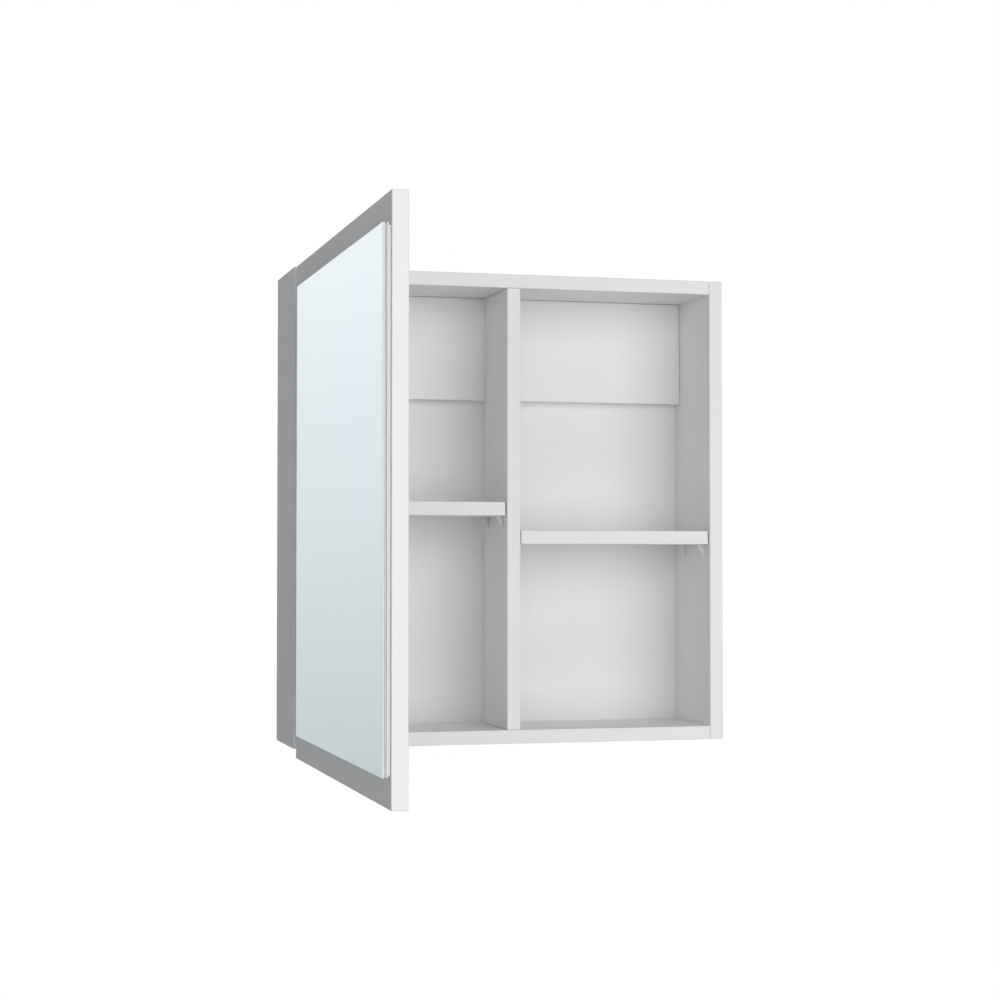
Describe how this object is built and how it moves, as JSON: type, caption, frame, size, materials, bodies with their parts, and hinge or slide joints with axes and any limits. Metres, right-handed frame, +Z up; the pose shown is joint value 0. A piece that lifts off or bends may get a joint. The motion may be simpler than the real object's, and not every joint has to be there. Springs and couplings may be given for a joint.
{
  "type": "hanging wall cabinet",
  "caption": "Shallow white wall cabinet with a mirror-faced door open at 90 degrees, a full-height divider and a shelf at its own height in each bay.",
  "frame": {"origin": "middle of the back panel's rear face, on the wall", "axes": "+Y into the wall, +Z up, +X to the right as seen from the front; the open door stands out along -Y on the left"},
  "size_m": [0.5266, 0.6513, 0.56],
  "materials": {
    "carcass_board": "white melamine facing, satin",
    "shelf_board": "white melamine facing, satin",
    "door_board": "white melamine facing, satin",
    "back_board": "white lacquered hardboard, matt",
    "mirror_glass": "silvered float glass, polished edge",
    "mirror_backing": "thin hardboard, matt",
    "mirror_adhesive": "dark foam tape",
    "shelf_support_plastic": "moulded white plastic",
    "hinge_nickel": "nickel plated pressed steel",
    "hinge_screw": "nickel plated screw",
    "hanger_steel": "zinc plated sheet",
    "fastener_zinc": "zinc plated fastener",
    "cam_zinc": "die cast zinc, dull"
  },
  "bodies": {
    "cabinet": {"back_panel": "back_board", "bottom_panel": "carcass_board", "cam_bolt_bottom_left": "fastener_zinc", "cam_bolt_bottom_right": "fastener_zinc", "cam_bolt_top_left": "fastener_zinc", "cam_bolt_top_right": "fastener_zinc", "cam_lock_bottom_left": "cam_zinc", "cam_lock_bottom_right": "cam_zinc", "cam_lock_top_left": "cam_zinc", "cam_lock_top_right": "cam_zinc", "divider": "carcass_board", "divider_screw_bottom": "fastener_zinc", "divider_screw_top": "fastener_zinc", "hanger_left": "hanger_steel", "hanger_right": "hanger_steel", "hanger_screw_left_lower": "fastener_zinc", "hanger_screw_left_upper": "fastener_zinc", "hanger_screw_right_lower": "fastener_zinc", "hanger_screw_right_upper": "fastener_zinc", "hanging_rail": "carcass_board", "hinge_arm_lower": "hinge_nickel", "hinge_arm_lower_screw": "hinge_screw", "hinge_arm_upper": "hinge_nickel", "hinge_arm_upper_screw": "hinge_screw", "hinge_plate_lower": "hinge_nickel", "hinge_plate_lower_screw_lower": "hinge_screw", "hinge_plate_lower_screw_upper": "hinge_screw", "hinge_plate_upper": "hinge_nickel", "hinge_plate_upper_screw_lower": "hinge_screw", "hinge_plate_upper_screw_upper": "hinge_screw", "shelf_support_left_inner_front": "shelf_support_plastic", "shelf_support_left_inner_rear": "shelf_support_plastic", "shelf_support_left_outer_front": "shelf_support_plastic", "shelf_support_left_outer_rear": "shelf_support_plastic", "shelf_support_right_inner_front": "shelf_support_plastic", "shelf_support_right_inner_rear": "shelf_support_plastic", "shelf_support_right_outer_front": "shelf_support_plastic", "shelf_support_right_outer_rear": "shelf_support_plastic", "side_panel_left": "carcass_board", "side_panel_right": "carcass_board", "top_panel": "carcass_board"},
    "door": {"door_panel": "door_board", "hinge_cup_lower": "hinge_nickel", "hinge_cup_lower_screw_lower": "hinge_screw", "hinge_cup_lower_screw_upper": "hinge_screw", "hinge_cup_upper": "hinge_nickel", "hinge_cup_upper_screw_lower": "hinge_screw", "hinge_cup_upper_screw_upper": "hinge_screw", "mirror_adhesive": "mirror_adhesive", "mirror_backing": "mirror_backing", "mirror_glass": "mirror_glass", "mirror_spacer": "mirror_adhesive"},
    "outer_links": {"outer_link_lower": "hinge_nickel", "outer_link_upper": "hinge_nickel"},
    "inner_links": {"inner_link_lower": "hinge_nickel", "inner_link_upper": "hinge_nickel"},
    "left_shelf": {"shelf_left": "shelf_board"},
    "right_shelf": {"shelf_right": "shelf_board"}
  },
  "joints": [
    {"name": "door_hinge", "type": "hinge", "parent": "cabinet", "child": "door", "pos_m": [-0.25265, -0.13865, 0], "axis": [0, 0, -1], "range_deg": [-90, 5]},
    {"name": "outer_link_pivot", "type": "hinge", "parent": "cabinet", "child": "outer_links", "pos_m": [-0.2375, -0.1309, 0], "axis": [0, 0, 1], "range_deg": [-20.5, 1.6]},
    {"name": "inner_link_pivot", "type": "hinge", "parent": "cabinet", "child": "inner_links", "pos_m": [-0.233, -0.1311, 0], "axis": [0, 0, 1], "range_deg": [-35, 2.4]},
    {"name": "left_shelf_lift", "type": "slide", "parent": "cabinet", "child": "left_shelf", "axis": [0, 0, 1], "range_m": [0, 0.12]},
    {"name": "right_shelf_lift", "type": "slide", "parent": "cabinet", "child": "right_shelf", "axis": [0, 0, 1], "range_m": [0, 0.12]}
  ],
  "couplings": [
    {"joint": "outer_link_pivot", "follows": "door_hinge", "ratio": 0.22222},
    {"joint": "inner_link_pivot", "follows": "door_hinge", "ratio": 0.38111}
  ]
}
